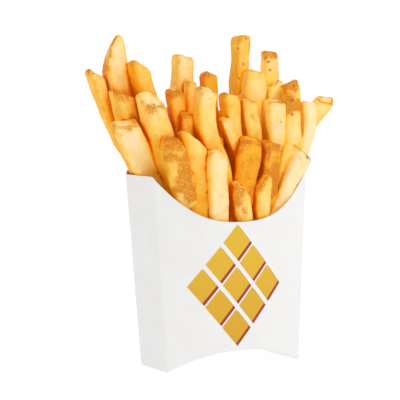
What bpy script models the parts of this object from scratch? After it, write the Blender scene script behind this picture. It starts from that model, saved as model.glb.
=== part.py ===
"""French fries standing in a carton of folded card.

The carton is one piece of thin white card: bowed front and back panels, flat sides, a front
that is scooped out at the top, a taller rounded back, and a base that is pushed up into an arch.
The fries are one heap: a core that fills the carton, with every fry that shows fused on.
Lengths are in metres, +X is to the right, the front faces -Y and +Z is up.
"""
import math
import random
from typing import NamedTuple

import bmesh
import bpy
from mathutils import Vector

MM = 0.001

# Card carton, outside sizes
CARD_THICKNESS = 0.5 * MM
TOP_WIDTH = 76.5 * MM
BASE_WIDTH = 66.5 * MM
TOP_DEPTH = 28.4 * MM
BASE_DEPTH = 27.5 * MM
CORNER_HEIGHT = 86.4 * MM
TOP_BOW = 12.6 * MM
BASE_BOW = 6.4 * MM
SCOOP_DROP = 20.9 * MM
SCOOP_POWER = 2.64
BACK_RISE = 20.0 * MM
BACK_POWER = 2.2
ARCH_RISE = 8.3 * MM
ARCH_POWER = 2.08
CREASE_WIDTH = 1.0 * MM
CREASE_ANGLE = math.radians(35)
CREASE_SEGMENTS = 2

# How finely the card is divided
PANEL_COLUMNS = 20
SIDE_COLUMNS = 3
WALL_ROWS = 10

# Core of the heap
HEAP_GAP = 0.3 * MM
OUTSIDE_TRIM = 6.0 * MM
CORE_GAP = 0.8 * MM
CORE_FLOOR_GAP = 1.3 * MM
CORE_TOP = 60.0 * MM
CORE_COLUMNS = 12
BOW_SLACK = 1.25

# The heap is laid out as it is seen, from left of the front and a little above: a place is so
# far across and so far up on an upright picture plane through the carton's middle.
VIEW_TURN = math.radians(-26.6)
VIEW_TILT = math.radians(6.1)
VIEW_ROLL = math.radians(1.2)
VIEW_DISTANCE = 830.0 * MM
VIEW_PIVOT = Vector((0, 0, 45.0 * MM))

# Shape of one fry; FOOT_HEIGHT is where its axis ends in the core, and the ROW and RIM values
# say how it is moved to and fro until it clears the card up to a little above the rim
FOOT_HEIGHT = 48.0 * MM
EDGE_SHARE = 0.13
TIP_LENGTH = 1.4 * MM
MIDDLE_LOOPS = (0.0, 0.35, 0.7)
SIZE_NOISE = 0.05
CUT_NOISE = 1.2
FRY_SEED = 8
ROW_STEP = 0.5
ROW_TRIES = 24
RIM_MARGIN = 3.0 * MM
FOOT_TRIES = 50
FOOT_DRAW_IN = 0.96


class Fry(NamedTuple):
    """A fry in millimetres: where its tip and a lower point of its axis show, the side of its
    square section, the rows (y) of lower point and tip, the bow of its middle to the right, its
    twist in degrees, the size of its end, and how far its cut falls to the right and the front."""

    tip: tuple
    low: tuple
    side: float
    rows: tuple
    bow: float = 0.0
    twist: float = 0.0
    end: float = 0.82
    cut: tuple = None


FRONT_FRIES = [
    Fry((-42.4, 108.5), (-30.0, 84.0), 12.6, (-4.0, -5.0), twist=-12, cut=(4.0, -1.5)),
    Fry((-21.2, 102.0), (-16.0, 77.0), 11.0, (-18.0, -17.0), twist=-15, end=0.4, cut=(2.0, 0.0)),
    Fry((-12.0, 101.2), (-9.0, 73.5), 11.4, (-14.0, -13.5), twist=-10, cut=(8.5, 0.0)),
    Fry((-1.2, 96.0), (-0.6, 66.0), 10.2, (-20.5, -20.0), twist=-12, end=0.45),
    Fry((9.6, 80.6), (10.6, 66.0), 8.4, (-22.0, -21.0), end=0.42, cut=(3.0, 1.0)),
    Fry((19.6, 83.0), (19.0, 67.5), 8.4, (-20.5, -19.0), end=0.6, cut=(-5.0, 0.0)),
    Fry((38.6, 94.8), (26.2, 69.5), 8.8, (-15.0, -12.0), bow=-0.6, end=0.7),
]
SECOND_FRIES = [
    Fry((-30.5, 119.2), (-18.0, 82.5), 10.9, (-6.5, -9.0), bow=-1.4, twist=8, cut=(1.0, 7.0)),
    Fry((15.0, 100.8), (11.4, 82.0), 10.6, (-14.0, -13.5), twist=-12, cut=(0.0, 4.0)),
    Fry((33.4, 98.6), (26.8, 76.0), 9.2, (-9.5, -8.0), twist=-10, end=0.8),
    Fry((-5.0, 124.0), (0.8, 87.0), 9.2, (-12.0, -14.0), bow=-3.2, twist=-10, cut=(0.5, 1.0)),
    Fry((23.8, 100.2), (22.6, 85.0), 8.6, (-13.0, -12.0)),
    Fry((-44.0, 122.0), (-31.5, 84.5), 9.8, (5.5, 3.0), bow=-0.9, cut=(5.5, 0.0)),
]
THIRD_FRIES = [
    Fry((-36.6, 134.8), (-26.4, 96.0), 9.2, (2.5, 3.0), end=0.6, cut=(5.0, 0.0)),
    Fry((-20.0, 123.5), (-15.0, 87.0), 7.3, (1.0, -2.0)),
    Fry((-12.5, 127.5), (-13.5, 87.0), 5.0, (3.0, 3.0)),
    Fry((-14.0, 113.0), (-14.5, 87.0), 6.4, (-5.0, -6.0)),
    Fry((4.5, 121.5), (9.0, 87.0), 7.8, (-5.5, -6.0), end=0.75, cut=(2.0, 0.0)),
    Fry((2.5, 111.0), (10.0, 91.5), 4.8, (-9.5, -9.0)),
    Fry((12.8, 119.5), (17.3, 87.0), 7.8, (-5.0, -4.0), cut=(5.0, 0.0)),
    Fry((25.5, 118.5), (25.5, 87.0), 9.4, (-4.0, -5.0), twist=-12),
    Fry((-56.2, 131.0), (-34.6, 84.5), 6.8, (10.0, 11.0), bow=-1.6, end=0.85, cut=(5.5, 0.0)),
]
BACK_FRIES = [
    Fry((-47.6, 141.4), (-29.8, 87.0), 9.8, (8.0, 10.0), bow=-2.6, end=0.92, cut=(-12.0, 0.0)),
    Fry((-15.8, 139.0), (-18.0, 87.0), 8.6, (9.0, 11.0)),
    Fry((-4.0, 131.0), (-4.0, 87.0), 6.6, (4.0, 6.0), end=0.65),
    Fry((10.9, 148.0), (6.5, 87.0), 7.6, (10.0, 12.0), end=0.7, cut=(-1.0, 0.0)),
    Fry((16.0, 132.4), (15.0, 87.0), 11.2, (4.0, 5.0), twist=-10, end=0.36),
    Fry((23.0, 141.0), (24.0, 87.0), 7.2, (10.0, 13.0), twist=-8),
    Fry((25.6, 126.4), (21.5, 96.0), 9.0, (3.5, 5.0), end=0.6, cut=(-6.0, 0.0)),
    Fry((31.9, 127.0), (32.4, 87.0), 7.8, (-4.5, -4.0), bow=0.9, twist=-6, end=0.9, cut=(-2.0, 0.0)),
    Fry((40.3, 118.0), (34.8, 87.0), 6.1, (-9.0, -8.0), bow=2.7),
    Fry((48.8, 118.8), (21.5, 88.0), 8.2, (3.0, 4.0), cut=(-4.0, 5.0)),
]
# Fries that the front ones hide
HIDDEN_FRIES = [
    Fry((-37.0, 119.0), (-30.5, 87.0), 9.4, (12.0, 16.0)),
    Fry((-25.0, 114.0), (-21.0, 87.0), 9.4, (17.0, 21.0)),
    Fry((-16.5, 109.0), (-14.5, 87.0), 8.8, (19.0, 23.0)),
    Fry((-8.0, 115.0), (-7.0, 87.0), 9.4, (19.5, 22.0)),
    Fry((1.5, 110.0), (0.5, 87.0), 9.0, (19.0, 23.0)),
    Fry((11.0, 114.0), (9.0, 87.0), 9.2, (18.0, 21.0)),
    Fry((20.0, 109.0), (17.0, 87.0), 8.8, (16.0, 20.0)),
    Fry((-9.0, 112.0), (-8.0, 87.0), 9.0, (10.5, 11.0)),
    Fry((4.0, 116.0), (1.0, 87.0), 8.4, (12.0, 13.0)),
    Fry((17.0, 113.0), (15.5, 87.0), 8.8, (10.0, 11.0)),
    Fry((35.0, 108.0), (26.0, 87.0), 8.0, (10.5, 14.0)),
    Fry((-2.0, 104.0), (-3.0, 87.0), 8.8, (-4.0, -4.0)),
    Fry((-24.0, 106.0), (-21.0, 87.0), 8.4, (6.0, 6.0)),
    Fry((9.0, 108.0), (8.0, 87.0), 8.4, (3.0, 3.0)),
]
ALL_FRIES = FRONT_FRIES + SECOND_FRIES + THIRD_FRIES + BACK_FRIES + HIDDEN_FRIES


def clear_scene():
    for obj in list(bpy.data.objects):
        bpy.data.objects.remove(obj, do_unlink=True)


def make_collection(name):
    collection = bpy.data.collections.new(name)
    bpy.context.scene.collection.children.link(collection)
    return collection


def make_material(name, colour, roughness):
    material = bpy.data.materials.new(name)
    material.use_nodes = True
    shader = material.node_tree.nodes["Principled BSDF"]
    shader.inputs["Base Color"].default_value = (*colour, 1.0)
    shader.inputs["Roughness"].default_value = roughness
    shader.inputs["Metallic"].default_value = 0.0
    return material


def mesh_object(name, bm, collection):
    mesh = bpy.data.meshes.new(name)
    bm.to_mesh(mesh)
    bm.free()
    obj = bpy.data.objects.new(name, mesh)
    collection.objects.link(obj)
    return obj


def blend(start, end, share):
    return start + (end - start) * share


def half_width(z):
    return blend(BASE_WIDTH, TOP_WIDTH, z / CORNER_HEIGHT) / 2


def half_depth(z):
    return blend(BASE_DEPTH, TOP_DEPTH, z / CORNER_HEIGHT) / 2


def panel_bow(s, z):
    """How far a front or back panel stands out at s, which runs from -1 to 1 across it."""
    return blend(BASE_BOW, TOP_BOW, z / CORNER_HEIGHT) * (1 - s * s)


def front_rim(s):
    return CORNER_HEIGHT - SCOOP_DROP * (1 - abs(s) ** SCOOP_POWER)


def back_rim(s):
    return CORNER_HEIGHT + BACK_RISE * (1 - abs(s) ** BACK_POWER)


def arch(s):
    return ARCH_RISE * (1 - abs(s) ** ARCH_POWER)


def panel_point(s, z, facing, inset=0.0):
    """Point of the front (facing -1) or back (facing 1) panel, moved in by inset."""
    stand = half_depth(z) + panel_bow(s, z) - inset * BOW_SLACK
    return Vector((s * (half_width(z) - inset), facing * stand, z))


def side_point(across, z, side):
    """Point of the left (side -1) or right (side 1) panel; across runs from -1, the front, to 1."""
    return Vector((side * half_width(z), across * half_depth(z), z))


def steps(count):
    return [2 * i / count - 1 for i in range(count + 1)]


def carton_sheet(rim_lift=0.0):
    """The card as a surface with no thickness: walls and arched base, open at the top."""
    bm = bmesh.new()

    def column(place, low, high):
        heights = [blend(low, high, row / WALL_ROWS) for row in range(WALL_ROWS + 1)]
        return [bm.verts.new(place(z)) for z in heights]

    def wall(columns):
        for left, right in zip(columns, columns[1:]):
            for row in range(WALL_ROWS):
                bm.faces.new((left[row], right[row], right[row + 1], left[row + 1]))

    across = steps(PANEL_COLUMNS)
    front = [column(lambda z, s=s: panel_point(s, z, -1), arch(s), front_rim(s) + rim_lift)
             for s in across]
    back = [column(lambda z, s=s: panel_point(s, z, 1), arch(s), back_rim(s) + rim_lift)
            for s in across]
    inner = steps(SIDE_COLUMNS)[1:-1]
    corner_top = CORNER_HEIGHT + rim_lift
    right = [column(lambda z, a=a: side_point(a, z, 1), 0.0, corner_top) for a in inner]
    left = [column(lambda z, a=a: side_point(a, z, -1), 0.0, corner_top) for a in inner]
    wall(front)
    wall([front[-1]] + right + [back[-1]])
    wall(back[::-1])
    wall([back[0]] + left[::-1] + [front[0]])

    base = []
    for index, s in enumerate(across):
        start, end = front[index][0], back[index][0]
        if index == 0:
            middle = [piece[0] for piece in left]
        elif index == PANEL_COLUMNS:
            middle = [piece[0] for piece in right]
        else:
            middle = [bm.verts.new(start.co.lerp(end.co, (a + 1) / 2)) for a in inner]
        base.append([start] + middle + [end])
    for near, far in zip(base, base[1:]):
        for row in range(SIDE_COLUMNS):
            bm.faces.new((near[row], near[row + 1], far[row + 1], far[row]))
    return bm


def add_modifier(obj, kind, **settings):
    modifier = obj.modifiers.new(kind.title(), kind)
    for name, value in settings.items():
        setattr(modifier, name, value)
    return modifier


def fold_creases(obj):
    add_modifier(obj, "BEVEL", width=CREASE_WIDTH, segments=CREASE_SEGMENTS,
                 limit_method="ANGLE", angle_limit=CREASE_ANGLE)


def make_carton(parts):
    carton = mesh_object("carton", carton_sheet(), parts)
    fold_creases(carton)
    add_modifier(carton, "SOLIDIFY", thickness=CARD_THICKNESS, offset=-1.0, use_even_offset=True)
    carton.data.materials.append(make_material("white_card", (0.86, 0.86, 0.85), 0.55))
    return carton


def make_clearance(cutters):
    """The card and the gap inside it, raised by the gap at the rim and thickened outwards, so
    that nothing of the heap hangs outside below the rim."""
    clearance = mesh_object("carton_clearance", carton_sheet(HEAP_GAP), cutters)
    fold_creases(clearance)
    inward = CARD_THICKNESS + HEAP_GAP
    grown = inward + OUTSIDE_TRIM
    add_modifier(clearance, "SOLIDIFY", thickness=grown, use_even_offset=True,
                 offset=1 - 2 * inward / grown)
    clearance.hide_render = True
    clearance.display_type = "WIRE"
    return clearance


def make_core(parts):
    """Loft that fills the carton from its base to below the scoop."""
    bm = bmesh.new()
    inset = CARD_THICKNESS + CORE_GAP
    across = steps(CORE_COLUMNS)
    ring = [(s, -1) for s in across] + [(s, 1) for s in reversed(across)]
    floor = [bm.verts.new(panel_point(s, arch(s) + CARD_THICKNESS + CORE_FLOOR_GAP, facing, inset))
             for s, facing in ring]
    top = [bm.verts.new(panel_point(s, CORE_TOP, facing, inset)) for s, facing in ring]
    count = len(ring)
    for i in range(count):
        after = (i + 1) % count
        bm.faces.new((floor[i], floor[after], top[after], top[i]))
    for i in range(CORE_COLUMNS):
        mate = count - 1 - i
        bm.faces.new((floor[i + 1], floor[i], floor[mate], floor[mate - 1]))
        bm.faces.new((top[i], top[i + 1], top[mate - 1], top[mate]))
    return mesh_object("fries", bm, parts)


def view_axes():
    turn, tilt = VIEW_TURN, VIEW_TILT
    back = Vector((math.sin(turn) * math.cos(tilt), -math.cos(turn) * math.cos(tilt), math.sin(tilt)))
    right = Vector((math.cos(turn), math.sin(turn), 0.0))
    return right, back.cross(right), back


def seen_at(place, row):
    """World point in the upright plane y = row that shows at place on the picture plane."""
    right, upward, back = view_axes()
    across = place[0] * MM
    rise = place[1] * MM - VIEW_PIVOT.z
    level_across = across * math.cos(VIEW_ROLL) + rise * math.sin(VIEW_ROLL)
    level_rise = rise * math.cos(VIEW_ROLL) - across * math.sin(VIEW_ROLL)
    eye = VIEW_PIVOT + back * VIEW_DISTANCE
    ray = VIEW_PIVOT + right * level_across + upward * level_rise - eye
    return eye + ray * ((row * MM - eye.y) / ray.y)


def section_axes(twist, along=Vector((0.0, 0.0, 1.0))):
    """The two directions across a fry's section: to the right, turned by twist degrees about
    the upright, and away from the front, both square to the fry's axis."""
    turn = math.radians(twist)
    right = Vector((math.cos(turn), math.sin(turn), 0.0))
    across = (right - along * right.dot(along)).normalized()
    return across, along.cross(across)


def clears_card(centre, side, twist):
    """True if a section of a fry stands clear of the walls or above their rim."""
    across, deep = section_axes(twist)
    room = CARD_THICKNESS + HEAP_GAP
    for right, back in ((-1, -1), (1, -1), (1, 1), (-1, 1)):
        corner = centre + (across * right + deep * back) * side * MM / 2
        s = max(-1.0, min(1.0, corner.x / half_width(corner.z)))
        level = corner.z - RIM_MARGIN
        if level < CORNER_HEIGHT and abs(corner.x) > half_width(corner.z) - room:
            return False
        rim = front_rim(s) if corner.y < 0 else back_rim(s)
        wall = half_depth(corner.z) + panel_bow(s, corner.z)
        if level < rim and abs(corner.y) > wall - room * BOW_SLACK:
            return False
    return True


def settled(place, row, fry):
    """The point that shows at place in the nearest row where the fry clears the card."""
    for attempt in range(ROW_TRIES):
        for way in (1, -1):
            point = seen_at(place, row + way * attempt * ROW_STEP)
            if clears_card(point, fry.side, fry.twist):
                return point
    return seen_at(place, row)


def foot_of(tip, low, fry):
    """Where the fry's axis ends in the core, drawn in until it clears the walls."""
    share = (low.z - FOOT_HEIGHT) / (tip.z - low.z)
    foot = low + (low - tip) * share
    for _ in range(FOOT_TRIES):
        if clears_card(foot, fry.side, fry.twist):
            break
        foot.x *= FOOT_DRAW_IN
        foot.y *= FOOT_DRAW_IN
    return foot


def fry_stations(fry):
    """Points along a fry's axis from its foot to its tip."""
    tip = settled(fry.tip, fry.rows[1], fry)
    low = settled(fry.low, fry.rows[0], fry)
    bow = view_axes()[0] * fry.bow * MM

    def point(share):
        return low.lerp(tip, share) + bow * 4 * share * (1 - share)

    near_tip = 1 - TIP_LENGTH / (tip - low).length
    return [foot_of(tip, low, fry)] + [point(s) for s in (*MIDDLE_LOOPS, near_tip, 1.0)]


def make_fry(index, fry, bars, chance):
    """A square bar with its long edges taken off, bent along its axis, with a cut end. The
    slant of the cut grows along the bar from nothing at its foot, so its rings never cross."""
    stations = fry_stations(fry)
    last = len(stations) - 1
    bm = bmesh.new()
    bmesh.ops.create_cube(bm, size=1.0)
    uprights = [e for e in bm.edges if abs(e.verts[0].co.z - e.verts[1].co.z) > 0.5]
    bmesh.ops.bevel(bm, geom=uprights, offset=EDGE_SHARE, segments=1, affect="EDGES")
    for level in range(1, last):
        bmesh.ops.bisect_plane(bm, geom=bm.verts[:] + bm.edges[:] + bm.faces[:],
                               plane_co=(0, 0, level / last - 0.5), plane_no=(0, 0, 1))
    sizes = [1 + chance.uniform(-SIZE_NOISE, SIZE_NOISE) for _ in stations]
    sizes[-1] = fry.end
    rough_cut = (chance.uniform(-CUT_NOISE, CUT_NOISE), chance.uniform(0, CUT_NOISE))
    cut = fry.cut or rough_cut
    length = (stations[-1] - stations[0]).length
    for vert in bm.verts:
        level = round((vert.co.z + 0.5) * last)
        along = (stations[min(level + 1, last)] - stations[max(level - 1, 0)]).normalized()
        across, deep = section_axes(fry.twist, along)
        size = sizes[level] * fry.side * MM
        share = (stations[level] - stations[0]).length / length
        fall = (vert.co.x * cut[0] - vert.co.y * cut[1]) * MM * share
        offset = across * vert.co.x * size + deep * vert.co.y * size
        vert.co = stations[level] + offset - along * fall
    bmesh.ops.recalc_face_normals(bm, faces=bm.faces)
    return mesh_object(f"bar_{index:02d}", bm, bars)


def apply_boolean(obj, **settings):
    """Add a Boolean, then give the object the mesh that it makes."""
    add_modifier(obj, "BOOLEAN", solver="EXACT", **settings)
    depsgraph = bpy.context.evaluated_depsgraph_get()
    result = bpy.data.meshes.new_from_object(obj.evaluated_get(depsgraph))
    obj.modifiers.clear()
    obj.data = result


def keep_main_body(obj):
    """Drop loose scraps and fill sealed hollows: only the body with the most volume stays."""
    bm = bmesh.new()
    bm.from_mesh(obj.data)
    bmesh.ops.triangulate(bm, faces=bm.faces)
    left = set(bm.faces)
    bodies = []
    while left:
        body = set()
        to_visit = [left.pop()]
        while to_visit:
            face = to_visit.pop()
            body.add(face)
            near = {other for edge in face.edges for other in edge.link_faces} & left
            left -= near
            to_visit += near
        bodies.append(body)

    def volume(body):
        corners = [[vert.co for vert in face.verts] for face in body]
        return sum(a.dot(b.cross(c)) for a, b, c in corners) / 6

    main = max(bodies, key=volume)
    loose = [face for body in bodies if body is not main for face in body]
    print("bodies in the heap", len(bodies), "dropped faces", len(loose))
    bmesh.ops.delete(bm, geom=loose, context="FACES")
    bmesh.ops.delete(bm, geom=[v for v in bm.verts if not v.link_faces], context="VERTS")
    bm.to_mesh(obj.data)
    bm.free()


def make_heap(parts, bars, clearance):
    heap = make_core(parts)
    chance = random.Random(FRY_SEED)
    made = [make_fry(index, fry, bars, chance) for index, fry in enumerate(ALL_FRIES)]
    apply_boolean(heap, operand_type="COLLECTION", collection=bars, operation="UNION")
    for bar in made:
        bpy.data.objects.remove(bar, do_unlink=True)
    apply_boolean(heap, operand_type="OBJECT", object=clearance, operation="DIFFERENCE")
    keep_main_body(heap)
    heap.data.materials.clear()
    heap.data.materials.append(make_material("fried_potato", (0.86, 0.56, 0.20), 0.5))
    return heap


def stand_on_origin(objects):
    """Move the whole so that its box stands centred on the origin."""
    bpy.context.view_layer.update()
    depsgraph = bpy.context.evaluated_depsgraph_get()
    corners = [obj.matrix_world @ Vector(corner)
               for obj in objects for corner in obj.evaluated_get(depsgraph).bound_box]
    low = Vector([min(c[axis] for c in corners) for axis in range(3)])
    high = Vector([max(c[axis] for c in corners) for axis in range(3)])
    shift = Vector((-(low.x + high.x) / 2, -(low.y + high.y) / 2, -low.z))
    for obj in objects:
        obj.location += shift
    print("moved by mm", [round(v / MM, 3) for v in shift], "size mm",
          [round(v / MM, 2) for v in high - low])


def main():
    clear_scene()
    parts = make_collection("fries_in_carton")
    cutters = make_collection("cutters")
    bars = make_collection("bars")
    carton = make_carton(parts)
    clearance = make_clearance(cutters)
    heap = make_heap(parts, bars, clearance)
    bpy.data.collections.remove(bars)
    stand_on_origin([carton, heap])


main()
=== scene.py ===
# %% [markdown]
# # Fries standing in a folded card carton
# The frame holds two plain solids: the carton and the heap of fries in it. This lesson dresses
# both. It makes the carton again as a finely divided sheet of card with a printed front, and it
# makes every fry again with soft edges, sunken faces, browned ends and a skin that shines.
# The frame stays where it is, and each new piece is built in the same metres, so nothing has
# to be fitted afterwards.

# %% Load the frame
import math
import random
from typing import NamedTuple

import bmesh
import bpy
import numpy as np
from mathutils import Matrix, Vector, noise
from mathutils.bvhtree import BVHTree


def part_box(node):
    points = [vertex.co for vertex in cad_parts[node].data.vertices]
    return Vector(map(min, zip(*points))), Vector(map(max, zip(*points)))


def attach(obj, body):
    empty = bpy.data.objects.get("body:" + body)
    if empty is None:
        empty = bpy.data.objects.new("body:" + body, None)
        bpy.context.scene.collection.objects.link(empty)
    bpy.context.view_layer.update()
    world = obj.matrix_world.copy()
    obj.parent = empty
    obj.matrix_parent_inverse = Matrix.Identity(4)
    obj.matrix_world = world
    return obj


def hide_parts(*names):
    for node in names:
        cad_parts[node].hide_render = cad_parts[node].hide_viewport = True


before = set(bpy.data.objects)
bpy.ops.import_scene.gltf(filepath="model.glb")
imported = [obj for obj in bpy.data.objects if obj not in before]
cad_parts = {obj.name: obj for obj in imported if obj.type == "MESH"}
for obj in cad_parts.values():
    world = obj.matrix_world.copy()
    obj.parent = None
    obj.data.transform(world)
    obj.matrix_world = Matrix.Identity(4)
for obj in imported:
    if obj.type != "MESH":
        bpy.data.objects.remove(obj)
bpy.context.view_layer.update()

MM = 0.001
NOISE_SEED = 5
noise.seed_set(NOISE_SEED)  # without it the vector noise is another one in each run

# %% [markdown]
# ## The carton's own measures
# A scoop carton is die-cut from one sheet of card, creased, and glued along one side. When it
# is squeezed open its front and back bow out and its base is pushed up into an arch. All of
# that follows from a few lengths, the same ones that the solid was built from. A point on a
# bowed panel is found from s, which runs from -1 to 1 across it, and from the height z.

# %% Lengths of the carton
CARD_THICKNESS = 0.5 * MM
TOP_WIDTH = 76.5 * MM
BASE_WIDTH = 66.5 * MM
TOP_DEPTH = 28.4 * MM
BASE_DEPTH = 27.5 * MM
CORNER_HEIGHT = 86.4 * MM
TOP_BOW = 12.6 * MM
BASE_BOW = 6.4 * MM
SCOOP_DROP = 20.9 * MM
SCOOP_POWER = 2.64
BACK_RISE = 20.0 * MM
BACK_POWER = 2.2
ARCH_RISE = 8.3 * MM
ARCH_POWER = 2.08


def between(start, end, share):
    return start + (end - start) * share


def half_width(z):
    return between(BASE_WIDTH, TOP_WIDTH, z / CORNER_HEIGHT) / 2


def half_depth(z):
    return between(BASE_DEPTH, TOP_DEPTH, z / CORNER_HEIGHT) / 2


def panel_bow(s, z):
    return between(BASE_BOW, TOP_BOW, z / CORNER_HEIGHT) * (1 - s * s)


def front_rim(s):
    return CORNER_HEIGHT - SCOOP_DROP * (1 - abs(s) ** SCOOP_POWER)


def back_rim(s):
    return CORNER_HEIGHT + BACK_RISE * (1 - abs(s) ** BACK_POWER)


def arch(s):
    return ARCH_RISE * (1 - abs(s) ** ARCH_POWER)


# The frame stands centred on the origin, so the carton's axis is found from its box: the box
# is as deep as the back panel bows out at its top.
carton_low, carton_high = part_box("carton")
BACK_HEIGHT = CORNER_HEIGHT + BACK_RISE
STAND = Vector(((carton_low.x + carton_high.x) / 2,
                carton_high.y - half_depth(BACK_HEIGHT) - panel_bow(0.0, BACK_HEIGHT),
                carton_high.z - BACK_HEIGHT))
print("carton axis stands at mm", [round(v / MM, 3) for v in STAND])

# %% [markdown]
# ## Turning shapes into pieces
# Every piece is a mesh that rides on the frame's one body and stands for a solid there. One
# helper does that the same way each time: it moves the mesh from the carton's axis to its
# place, shades it smooth, gives it its finish, hangs it on the body and hides the solid.

# %% A helper that adds a piece
def add_piece(name, mesh, solid, materials, sharp=None):
    """Add a mesh that was made about the carton's axis, in the place of a solid."""
    mesh.transform(Matrix.Translation(STAND))
    mesh.shade_smooth()
    if sharp is not None:
        mesh.set_sharp_from_angle(angle=sharp)
    for material in materials:
        mesh.materials.append(material)
    piece = bpy.data.objects.new(name, mesh)
    bpy.context.scene.collection.objects.link(piece)
    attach(piece, "root")
    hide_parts(solid)
    print(name, "has", len(mesh.polygons), "faces")
    return piece


# %% [markdown]
# ## Writing a finish as sums
# A material is a tree of small nodes. Wiring them by hand hides the idea behind them, so one
# class wraps an output socket and lets it be added, multiplied or compared as a number is.
# Each sum adds the Math node that works it out. Any other node comes from one method, which
# sets the node up first and then fills its sockets with values or links.

# %% Wires: sockets that can be added and multiplied
def sum_with(operation):
    """A method that works out a sum of a wire and another wire or a number."""
    return lambda wire, other: wire.math(operation, other)


class Wire:
    """An output socket of a finish, on which sums can be written."""

    def __init__(self, finish, socket):
        self.finish = finish
        self.socket = socket

    def math(self, operation, *values):
        return self.finish.sum(operation, self, *values)

    __add__ = __radd__ = sum_with("ADD")
    __mul__ = __rmul__ = sum_with("MULTIPLY")
    __sub__ = sum_with("SUBTRACT")
    __truediv__ = sum_with("DIVIDE")
    __pow__ = sum_with("POWER")
    most = sum_with("MAXIMUM")
    least = sum_with("MINIMUM")

    def __rsub__(self, other):
        return self.finish.sum("SUBTRACT", other, self)

    def __abs__(self):
        return self.math("ABSOLUTE")

    def held(self):
        """The value kept between 0 and 1."""
        return self.most(0.0).least(1.0)

    def rise(self, low, high):
        """0 below low, 1 above high, and a soft slope between them."""
        return self.finish.node("ShaderNodeMapRange", {"interpolation_type": "SMOOTHSTEP"},
                                {0: self, 1: low, 2: high})


# %% Finishes: materials whose surface is worked out from wires
CLOUD_ROUGHNESS = 0.55


class Finish:
    """A material with the tree that works out its surface."""

    def __init__(self, name, **constants):
        self.material = bpy.data.materials.new(name)
        self.material.use_nodes = True
        self.tree = self.material.node_tree
        self.shader = self.tree.nodes["Principled BSDF"]
        for socket, value in constants.items():
            self.shader.inputs[socket.replace("_", " ")].default_value = value

    def node(self, kind, settings, values, output=0):
        """Add a node: its settings first, then the values or links of its sockets."""
        made = self.tree.nodes.new(kind)
        for name, setting in settings.items():
            if name == "stops":
                self.set_stops(made.color_ramp, setting)
            else:
                setattr(made, name, setting)
        for name, value in values.items():
            self.fill(made.inputs[name], value)
        return Wire(self, made.outputs[output])

    def fill(self, socket, value):
        if isinstance(value, Wire):
            self.tree.links.new(value.socket, socket)
        else:
            socket.default_value = value

    def set_stops(self, ramp, stops):
        while len(ramp.elements) < len(stops):
            ramp.elements.new(1.0)
        for element, (place, colour) in zip(ramp.elements, stops):
            element.position = place
            element.color = (*colour, 1.0)

    def sum(self, operation, *values):
        return self.node("ShaderNodeMath", {"operation": operation}, dict(enumerate(values)))

    def mix(self, share, start, end, blend="MIX"):
        """A colour that goes from start to end as share goes from 0 to 1."""
        colours = [c if isinstance(c, Wire) else (*c, 1.0) for c in (start, end)]
        return self.node("ShaderNodeMix", {"data_type": "RGBA", "blend_type": blend},
                         {0: share, 6: colours[0], 7: colours[1]}, output=2)

    def place(self):
        """Where a point of the surface is, in metres."""
        return self.node("ShaderNodeTexCoord", {}, {}, output="Object")

    def stretched(self, place, scale):
        return self.node("ShaderNodeVectorMath", {"operation": "MULTIPLY"}, {0: place, 1: scale})

    def axis(self, place, name):
        return self.node("ShaderNodeSeparateXYZ", {}, {0: place}, output=name)

    def kept(self, name, output="Fac"):
        """A value that the mesh keeps for each of its points."""
        return self.node("ShaderNodeAttribute", {"attribute_name": name}, {}, output=output)

    def clouds(self, place, grain, detail=3.0):
        """Noise between 0 and 1 whose lumps are about grain wide."""
        return self.node("ShaderNodeTexNoise", {}, {
            "Vector": place, "Scale": 1 / grain, "Detail": detail, "Roughness": CLOUD_ROUGHNESS})

    def spots(self, place, grain):
        """Distance to the nearest of many scattered points, as a share of their spacing."""
        return self.node("ShaderNodeTexVoronoi", {}, {"Vector": place, "Scale": 1 / grain},
                         output="Distance")

    def finished(self, **wires):
        for socket, value in wires.items():
            self.fill(self.shader.inputs[socket.replace("_", " ")], value)
        return self.material

    def relief(self, height, painted_shade_depth):
        """A normal for a surface whose height goes from 0 to 1 over that depth in metres."""
        return self.node("ShaderNodeBump", {}, {"Height": height, "Distance": painted_shade_depth,
                                                "Strength": 1.0})


# %% [markdown]
# ## The card as a sheet
# The real carton is one flat blank of card about half a millimetre thick. A sheet with no
# thickness is lofted first, in columns up each wall and rows across the base. Bevel then
# gives the folded creases their small radius, and Solidify gives the card its thickness, with
# a second material for the inside and a third for the cut edge all round the rim.

# %% The sheet's columns and creases
PANEL_COLUMNS = 64
SIDE_COLUMNS = 12
WALL_ROWS = 44
CREASE_WIDTH = 1.0 * MM
CREASE_SEGMENTS = 4
CREASE_ANGLE = math.radians(35)
SHARP_ANGLE = math.radians(30)
CARD_WAVE = 0.12 * MM
CARD_WAVE_LENGTH = 26 * MM


def waved(point):
    """Card is never quite flat: the point moved by a slow, small wave."""
    wave = noise.noise_vector(point / CARD_WAVE_LENGTH) * CARD_WAVE
    wave.z = 0.0
    return point + wave


def panel_place(s, z, facing):
    return Vector((s * half_width(z), facing * (half_depth(z) + panel_bow(s, z)), z))


def side_place(across, z, side):
    return Vector((side * half_width(z), across * half_depth(z), z))


def shares(count):
    return [2 * i / count - 1 for i in range(count + 1)]


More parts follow.
